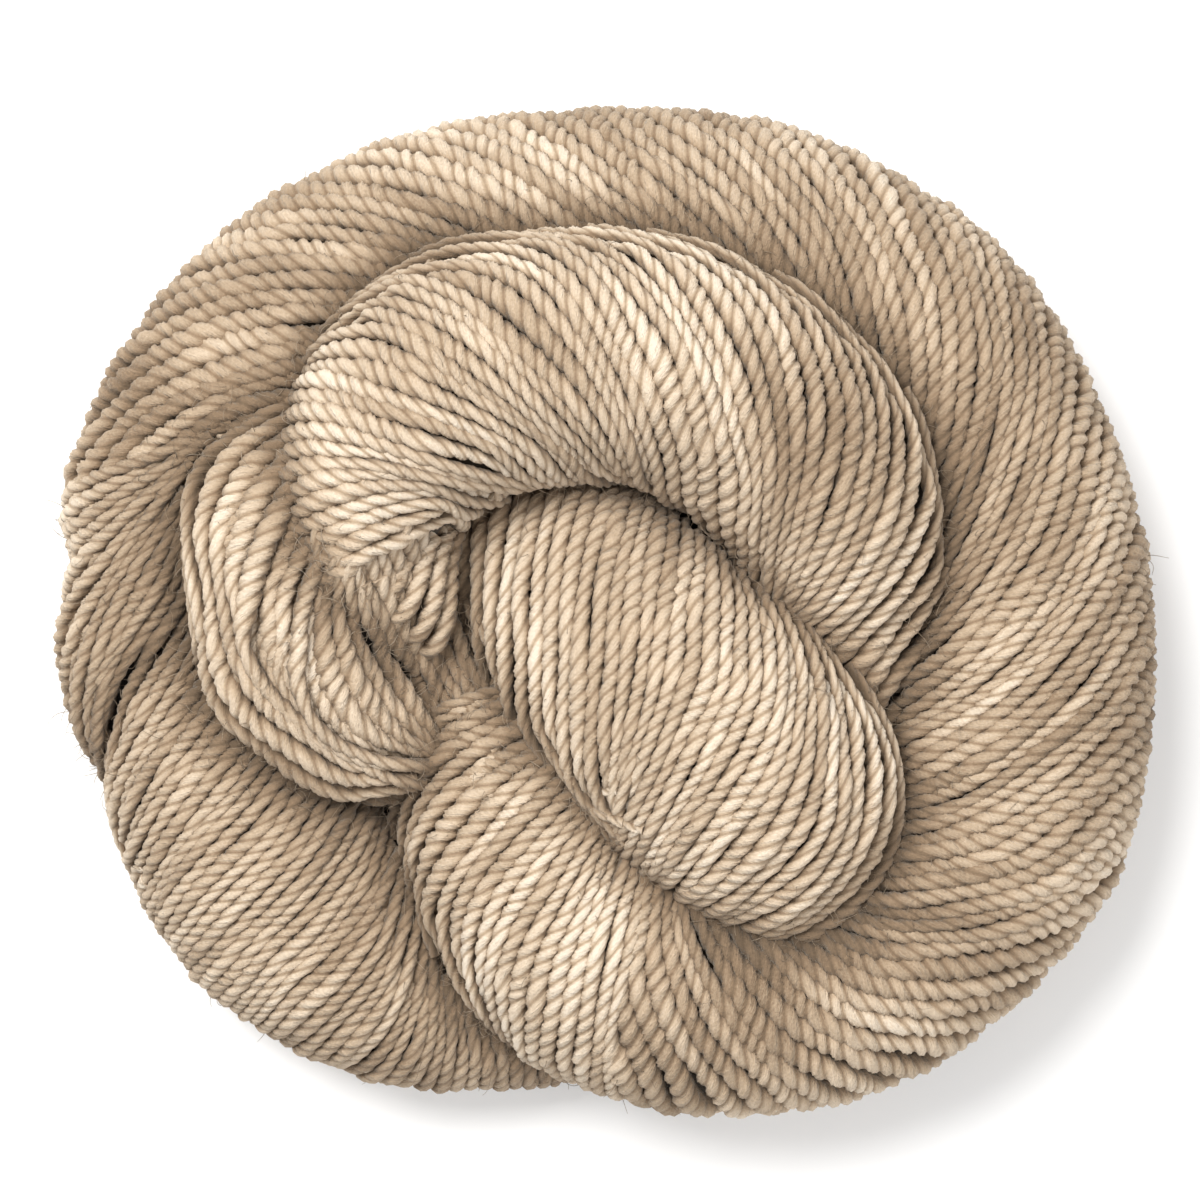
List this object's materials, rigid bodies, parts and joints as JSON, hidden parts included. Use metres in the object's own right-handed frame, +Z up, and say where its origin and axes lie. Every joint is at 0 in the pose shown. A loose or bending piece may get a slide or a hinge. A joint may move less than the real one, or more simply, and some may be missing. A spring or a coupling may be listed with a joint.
{
  "type": "twisted hank of knitting yarn",
  "caption": "Hank of plied knitting yarn, twisted and coiled up into a round nest that lies flat, with the loop end of the hank laid on top.",
  "frame": {"origin": "middle of the nest's plan, on its flat underside", "axes": "+Z up out of the flat underside, +X along the longer side of the nest, the turned-in end of the ring to the front at -Y"},
  "size_m": [0.1681, 0.1532, 0.0582],
  "materials": {
    "yarn": "matte plied wool, tonal beige to light taupe"
  },
  "bodies": {
    "root": {"hank": "yarn"}
  },
  "joints": []
}
